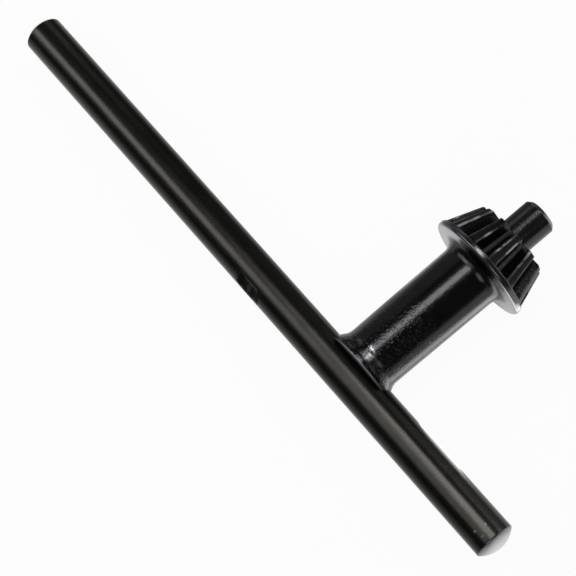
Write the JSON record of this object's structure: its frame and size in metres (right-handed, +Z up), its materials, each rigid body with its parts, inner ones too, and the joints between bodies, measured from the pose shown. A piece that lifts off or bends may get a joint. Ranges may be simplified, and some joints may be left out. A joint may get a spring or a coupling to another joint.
{
  "type": "drill chuck key",
  "caption": "T-handle chuck key: a round cross bar set off centre in a turned shank with a flange, straight bevel teeth and a plain pilot.",
  "frame": {"origin": "on the surface that the key lies on, under the middle of its outline; the key touches it with the collar's underside, the flange's rim and the end of the long arm", "axes": "+X along the bar towards its short arm (the bar rises 1.8 degrees that way), +Y along the key towards its pilot (it rises 7.3 degrees that way), +Z up"},
  "size_m": [0.1216, 0.0448, 0.0192],
  "materials": {
    "bar_steel": "black oxide, satin",
    "body_steel": "black oxide, semi-gloss"
  },
  "bodies": {
    "root": {"handle_bar": "bar_steel", "key_body": "body_steel"}
  },
  "joints": []
}
